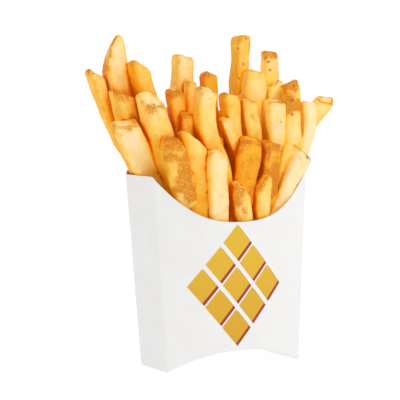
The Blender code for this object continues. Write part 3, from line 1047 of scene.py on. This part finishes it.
card_walls = card_mesh.copy()
card_walls.transform(Matrix.Translation(-STAND))
heap_tree = joined_tree([*fry_meshes.values(), card_walls])
bpy.data.meshes.remove(card_walls)
for kind, mesh in fry_meshes.items():
    batch = batches[kind]
    normals = [v.normal.copy() for v in mesh.vertices]
    points = [v.co.copy() for v in mesh.vertices]
    painted_shade_and_glow = closed_in(points, normals, heap_tree)
    for name in ("edge", "from_end", "tone"):
        store(mesh, name, np.concatenate(batch.kept[name]))
    # Painted shade: faces turned to the left, away from the key lamp, are drawn more golden and
    # orange.
    leftward = -np.array(normals) @ np.array(view_right)
    store(mesh, "leftward", np.clip(leftward, 0, 1))
    store(mesh, "crust", batch.crust)
    store(mesh, "closed_in", painted_shade_and_glow)
    store(mesh, "grain", np.vstack(batch.grain), "FLOAT_VECTOR")
    print(kind, "closed in", np.round(np.percentile(painted_shade_and_glow, (10, 50, 90)), 2))

# %% [markdown]
# ## Dark specks
# Small burnt specks sit here and there on a fry, and the eye notices them. The table gives
# the place of each on the picture plane and its radius, in millimetres. The line of sight
# through that place finds the point of the fry that carries it.

# %% Where the specks are
SPECKS = [
    (12.5, 146.7, 0.55), (9.0, 142.1, 0.5), (11.4, 135.1, 0.55), (9.5, 128.4, 0.6),
    (12.3, 131.8, 0.45), (13.3, 132.1, 0.5), (25.7, 139.9, 0.5), (21.5, 137.9, 0.6),
    (22.8, 136.0, 0.6), (23.6, 132.3, 0.7), (29.0, 124.8, 0.6), (34.3, 125.1, 0.6),
    (33.4, 118.5, 0.7), (30.4, 117.2, 0.6), (33.5, 112.1, 0.6), (-28.8, 116.8, 0.5),
    (-56.3, 130.6, 0.45), (40.4, 93.0, 0.9),
    (-4.8, 82.1, 0.6), (-5.0, 77.0, 0.5), (-11.1, 136.9, 0.6), (28.4, 108.8, 0.35),
]


def speck_centres():
    """The specks as points of the dressed heap, each with its radius in millimetres."""
    centres = []
    for across, up, radius in SPECKS:
        sight = (on_picture_plane((across, up)) - EYE).normalized()
        met = heap_tree.ray_cast(EYE, sight)[0]
        if met is not None:
            centres.append((met + STAND, radius))
    return centres


speck_places = speck_centres()
print("specks that lie on a fry", len(speck_places), "of", len(SPECKS))

# %% [markdown]
# ## The finish of fried potato
# Potato that has been fried is pale cream where it is soft and dry, golden where more sugar
# browned, and brown at its ends and edges, with a thin film of oil. The colour is read from a
# ramp whose place is the fry's own tone, moved up by noise, edges and ends, and by painted
# shade on faces turned to the left, lower down and in closed-in corners. The browned crust
# goes over that, and a scatter of dark specks over both. Between the fries a second ramp
# darkens it all as painted shade, less towards the right, and a faint glow is painted light
# that stands for the light that goes through potato.

# %% Colours of fried potato
PALE = (1.0, 0.79, 0.44)
CREAM = (1.0, 0.68, 0.17)
GOLDEN = (0.94, 0.46, 0.022)
ORANGE = (0.82, 0.27, 0.006)
DEEP_ORANGE = (0.60, 0.15, 0.002)
CRUST_TAN = (0.84, 0.29, 0.034)
CRUST_BROWN = (0.46, 0.11, 0.009)
SPECK = (0.26, 0.070, 0.008)
PALE_DOT = (1.0, 0.80, 0.46)
# Painted shade: colours multiplied over the fries in half-closed places and in crevices.
PAINTED_SHADE_HALF = (0.98, 0.79, 0.30)
PAINTED_SHADE_CREVICE = (0.77, 0.25, 0.008)
# Painted light: glow colours for light that goes through potato, yellower towards the right.
OPEN_GLOW = (0.022, 0.008, 0.0)
WARM_GLOW = (0.13, 0.048, 0.0)
YELLOW_GLOW = (0.13, 0.13, 0.0)


def fried_potato(name, crust_strength):
    finish = Finish(name, Specular_IOR_Level=0.10, Coat_Roughness=0.20, Emission_Strength=1.0)
    place = finish.place()
    grain = finish.kept("grain", output="Vector")
    edge = finish.kept("edge")
    from_end = finish.kept("from_end")
    tone = finish.kept("tone")
    crust = finish.kept("crust")
    painted_shade_and_glow = finish.kept("closed_in")
    leftward = finish.kept("leftward")
    # Painted light: towards the right, where the key lamp stands, the painted shade is weaker and
    # the colour yellower.
    painted_light_right = (finish.axis(place, "X") / MM).rise(2.0, 32.0)

    broad = finish.clouds(place, 9 * MM, detail=2.0) - 0.5
    small = finish.clouds(place, 2.4 * MM, detail=4.0) - 0.5
    crumb = finish.clouds(place, 0.8 * MM, detail=3.0) - 0.5
    streaks = finish.clouds(finish.stretched(grain, (1.0, 0.16, 1.0)), 1.3, detail=3.0) - 0.5
    pores = finish.spots(grain, 0.85)

    skin_here = (crust * crust_strength + small * 0.8).rise(0.10, 0.95)
    grit = finish.clouds(place, 0.5 * MM, detail=3.0) - 0.5
    torn = (grit * 1.6 + crumb * 1.5 + small * 0.8 + skin_here * 0.8).rise(0.15, 1.0)
    crust_here = skin_here * torn
    near_end = 1 - (abs(from_end) / 4.0).rise(0.0, 1.0)
    # The ramp's place: the fry's own tone and browning, plus painted shade on left faces and in
    # closed-in corners.
    tone_and_painted_shade = (tone * 0.58 + broad * 0.40 + small * 0.18 + streaks * 0.22 + edge ** 3.0 * 0.10
              + leftward * (0.20 - painted_light_right * 0.17) + skin_here * 0.10 + crust_here * 0.20
              + near_end * 0.08 + painted_shade_and_glow * (0.12 - painted_light_right * 0.10) - painted_light_right * 0.02)
    base = finish.node("ShaderNodeValToRGB", {"stops": [
        (0.02, PALE), (0.22, CREAM), (0.48, GOLDEN), (0.76, ORANGE), (1.0, DEEP_ORANGE)]},
        {0: tone_and_painted_shade.held()})
    crust_colour = finish.mix((grit * 2.0 + crumb * 1.2 + 0.5).held(), CRUST_TAN, CRUST_BROWN)
    washed = finish.mix(skin_here * 0.38, base, CRUST_TAN)
    toasted = finish.mix(crust_here * 0.60, washed, crust_colour)

    rim = (1 - abs(from_end - 0.2).rise(0.2, 0.9)) * finish.clouds(place, 3.5 * MM).rise(0.40, 0.62)
    edge_line = edge.rise(0.86, 1.0) * finish.clouds(place, 4 * MM).rise(0.54, 0.70)
    lined = finish.mix((rim * 0.35).most(edge_line * 0.28), toasted, CRUST_BROWN)
    scatter = finish.clouds(place, 3.1 * MM, detail=1.0)
    specks = (1 - finish.spots(place, 1.7 * MM).rise(0.10, 0.24)) * scatter.rise(0.60, 0.66)
    specks = specks * (0.35 + crust * 0.5)
    for centre, radius in speck_places:
        away = finish.node("ShaderNodeVectorMath", {"operation": "DISTANCE"},
                           {0: place, 1: centre}, output="Value") / MM
        specks = specks.most(0.7 - (away + crumb * 1.8).rise(radius * 0.5, radius * 1.5) * 0.7)
    # Small pale dots, scattered most over the crust and near the ends, and raised a little in the
    # relief.
    pale_dots = 1 - finish.spots(finish.stretched(place, (1.0, 1.0, 1.3)), 1.5 * MM).rise(0.10, 0.26)
    pale_dots = pale_dots * finish.clouds(place, 2.8 * MM, detail=1.0).rise(0.50, 0.60)
    pale_dotted = finish.mix(pale_dots * (0.15 + skin_here * 0.5 + near_end * 0.2).held(), lined, PALE_DOT)
    specked = finish.mix(specks, pale_dotted, SPECK)
    # Painted shade: closed-in places are darkened towards deep orange, less so towards the right.
    painted_shade_depth = painted_shade_and_glow.rise(0.17, 0.84) * (1 - painted_light_right * 0.55)
    shade = finish.node("ShaderNodeValToRGB", {"stops": [
        (0.0, (1.0, 1.0, 1.0)), (0.5, PAINTED_SHADE_HALF), (1.0, PAINTED_SHADE_CREVICE)]}, {0: painted_shade_depth})
    colour = finish.mix(1.0, specked, shade, blend="MULTIPLY")
    # Painted light: a faint emission, strongest in half-closed places, stands for light that goes
    # through potato.
    glow = finish.mix(painted_shade_and_glow.rise(0.10, 0.40) - painted_shade_and_glow.rise(0.40, 0.80) * 0.85,
                      OPEN_GLOW, finish.mix(painted_light_right, WARM_GLOW, YELLOW_GLOW))

    height = (small * 0.5 + finish.clouds(place, 0.45 * MM, detail=3.0) * 0.35 + streaks * 0.4
              + pores.rise(0.0, 0.5) * 0.25 + pale_dots * 0.4
              + crust_here * finish.clouds(place, 0.8 * MM) * 0.9)
    return finish.finished(
        Base_Color=colour,
        Emission_Color=glow,
        Roughness=0.44 + small * 0.16 + crust_here * 0.16,
        Coat_Weight=(0.04 + broad * 0.06 - crust_here * 0.04 - painted_shade_and_glow * 0.05).held(),
        Normal=finish.relief(height, 0.16 * MM))


CRUST_STRENGTH = {"pale_fries": 0.8, "golden_fries": 0.9, "browned_fries": 1.15}
for kind, mesh in fry_meshes.items():
    add_piece(kind, mesh, "fries", [fried_potato(kind, CRUST_STRENGTH[kind])])

# %% [markdown]
# ## The middle of the heap
# Deep in the carton nobody sees single fries, only a dark golden bed between them. It is
# one closed form that fills the carton up to just below the scoop, with a lumpy top, so
# that no gap between fries shows the bare card behind.

# %% A lofted bed with a lumpy top
BED_INSET = 1.0 * MM
BED_FLOOR_GAP = 1.2 * MM
BED_COLUMNS = 40
BED_RINGS = 14
BED_WALL_ROWS = 12
BED_LUMP = 2.4 * MM
BED_LUMP_SIZE = 6 * MM


def heap_bed():
    across = shares(BED_COLUMNS)
    outline = [(s, -1) for s in across] + [(s, 1) for s in reversed(across)]

    def rim_point(s, facing, z, share=1.0):
        y = facing * (half_depth(z) + panel_bow(s, z) - BED_INSET * BOW_SLACK)
        return Vector((s * (half_width(z) - BED_INSET) * share, y * share, z))

    rings = []
    for row in range(BED_WALL_ROWS + 1):
        share = row / BED_WALL_ROWS
        rings.append([rim_point(s, f, between(arch(s) + BED_FLOOR_GAP, CORE_TOP, share))
                      for s, f in outline])
    for ring in range(1, BED_RINGS):
        rings.append([rim_point(s, f, CORE_TOP, 1 - ring / BED_RINGS) for s, f in outline])
    for ring in rings[BED_WALL_ROWS + 1:]:
        for point in ring:
            point.z += BED_LUMP * noise.noise(point / BED_LUMP_SIZE)
    points = [tuple(p) for ring in rings for p in ring]
    count = len(outline)
    faces = []
    for row in range(len(rings) - 1):
        for i in range(count):
            after = (i + 1) % count
            faces.append((row * count + i, row * count + after,
                          (row + 1) * count + after, (row + 1) * count + i))
    last = (len(rings) - 1) * count
    faces.append(tuple(range(last, last + count)))
    for i in range(BED_COLUMNS):
        mate = count - 1 - i
        faces.append((i + 1, i, mate, mate - 1))
    mesh = bpy.data.meshes.new("heap_bed")
    mesh.from_pydata(points, [], faces)
    mesh.update()
    return mesh


def bed_finish():
    finish = Finish("deep_fries", Subsurface_Weight=0.2, Subsurface_Scale=3.0 * MM,
                    Subsurface_Radius=(1.0, 0.5, 0.2))
    place = finish.place()
    lumps = finish.clouds(place, 4 * MM, detail=4.0)
    # Painted shade: the bed is a darker orange than the fries, for the shade deep in the heap.
    colour = finish.mix(lumps.rise(0.35, 0.7), ORANGE, DEEP_ORANGE)
    return finish.finished(Base_Color=colour, Roughness=0.5 + lumps * 0.2,
                           Normal=finish.relief(lumps, 0.4 * MM))


add_piece("heap_bed", heap_bed(), "fries", [bed_finish()])

# %% [markdown]
# ## Floor, light and camera
# Food on a white table is lit softly from nearly everywhere, with a little more light from
# the upper right. A large pale floor and a bright surround give the soft light, and two area
# lamps give it a direction. The camera stands at the eye that laid out the fries and aims at
# the middle of the picture, so it needs no shift.

# %% The floor
FLOOR_HALF = 12.0
FLOOR_COLUMNS = 8
FLOOR_GAP = 0.2 * MM
FLOOR_GREYS = ((0.43, 0.43, 0.43), (0.46, 0.46, 0.46))
FLOOR_HAZE = 0.4
FLOOR_GLOW = 0.64


def make_floor():
    bm = bmesh.new()
    bmesh.ops.create_grid(bm, x_segments=FLOOR_COLUMNS, y_segments=FLOOR_COLUMNS, size=FLOOR_HALF)
    mesh = bpy.data.meshes.new("floor")
    bm.to_mesh(mesh)
    bm.free()
    finish = Finish("pale_floor", Emission_Color=(1.0, 1.0, 1.0, 1.0),
                    Emission_Strength=FLOOR_GLOW, Specular_IOR_Level=0.1)
    haze = finish.clouds(finish.place(), FLOOR_HAZE)
    mesh.materials.append(finish.finished(
        Base_Color=finish.mix(haze, *FLOOR_GREYS), Roughness=0.9))
    floor = bpy.data.objects.new("floor", mesh)
    floor.location.z = -FLOOR_GAP
    bpy.context.scene.collection.objects.link(floor)


make_floor()

# %% The surround: white to look at, a little dimmer as light
SURROUND_LIGHT = 0.80


def make_surround():
    world = bpy.data.worlds.new("white_surround")
    bpy.context.scene.world = world
    world.use_nodes = True
    tree = world.node_tree
    background = tree.nodes["Background"]
    background.inputs["Color"].default_value = (1.0, 1.0, 1.0, 1.0)
    seen = tree.nodes.new("ShaderNodeLightPath")
    strength = tree.nodes.new("ShaderNodeMapRange")
    strength.inputs["To Min"].default_value = SURROUND_LIGHT
    strength.inputs["To Max"].default_value = 1.0
    tree.links.new(seen.outputs["Is Camera Ray"], strength.inputs["Value"])
    tree.links.new(strength.outputs[0], background.inputs["Strength"])


make_surround()

# %% The lamps
LOOK_AT = STAND + Vector((0, 0, 85 * MM))


def add_lamp(name, turn, lift, distance, size, power):
    """A square lamp at that turn from the front, in degrees to the right, and that height."""
    a, e = math.radians(turn), math.radians(lift)
    away = Vector((math.sin(a) * math.cos(e), -math.cos(a) * math.cos(e), math.sin(e)))
    data = bpy.data.lights.new(name, "AREA")
    data.size = size
    data.energy = power
    lamp = bpy.data.objects.new(name, data)
    lamp.location = LOOK_AT + away * distance
    lamp.rotation_mode = "QUATERNION"
    lamp.rotation_quaternion = away.to_track_quat("Z", "Y")
    bpy.context.scene.collection.objects.link(lamp)


add_lamp("key_lamp", turn=38, lift=42, distance=0.9, size=0.55, power=1.6)
add_lamp("top_lamp", turn=-20, lift=80, distance=1.0, size=0.8, power=0.5)

# %% The camera
PHOTO_SIDE = 400
MM_PER_PIXEL = 0.45
AXIS_PIXEL = (218.0, 263.6)
LENS_PIXELS = 1844.8
SENSOR = 36.0


def add_camera():
    middle = PHOTO_SIDE / 2
    aim = on_picture_plane(((middle - AXIS_PIXEL[0]) * MM_PER_PIXEL,
                            VIEW_PIVOT.z / MM + (AXIS_PIXEL[1] - middle) * MM_PER_PIXEL))
    data = bpy.data.cameras.new("camera")
    data.sensor_width = SENSOR
    data.lens = LENS_PIXELS / PHOTO_SIDE * SENSOR
    camera = bpy.data.objects.new("camera", data)
    back = (EYE - aim).normalized()
    upright = view_right * math.sin(VIEW_ROLL) + view_up * math.cos(VIEW_ROLL)
    right = upright.cross(back).normalized()
    camera.matrix_world = Matrix.Translation(EYE + STAND) @ Matrix(
        (right, back.cross(right), back)).transposed().to_4x4()
    bpy.context.scene.collection.objects.link(camera)
    bpy.context.scene.camera = camera
    print("camera looks from mm", [round(v / MM) for v in EYE + STAND])


add_camera()
bpy.context.scene.view_settings.view_transform = "Standard"
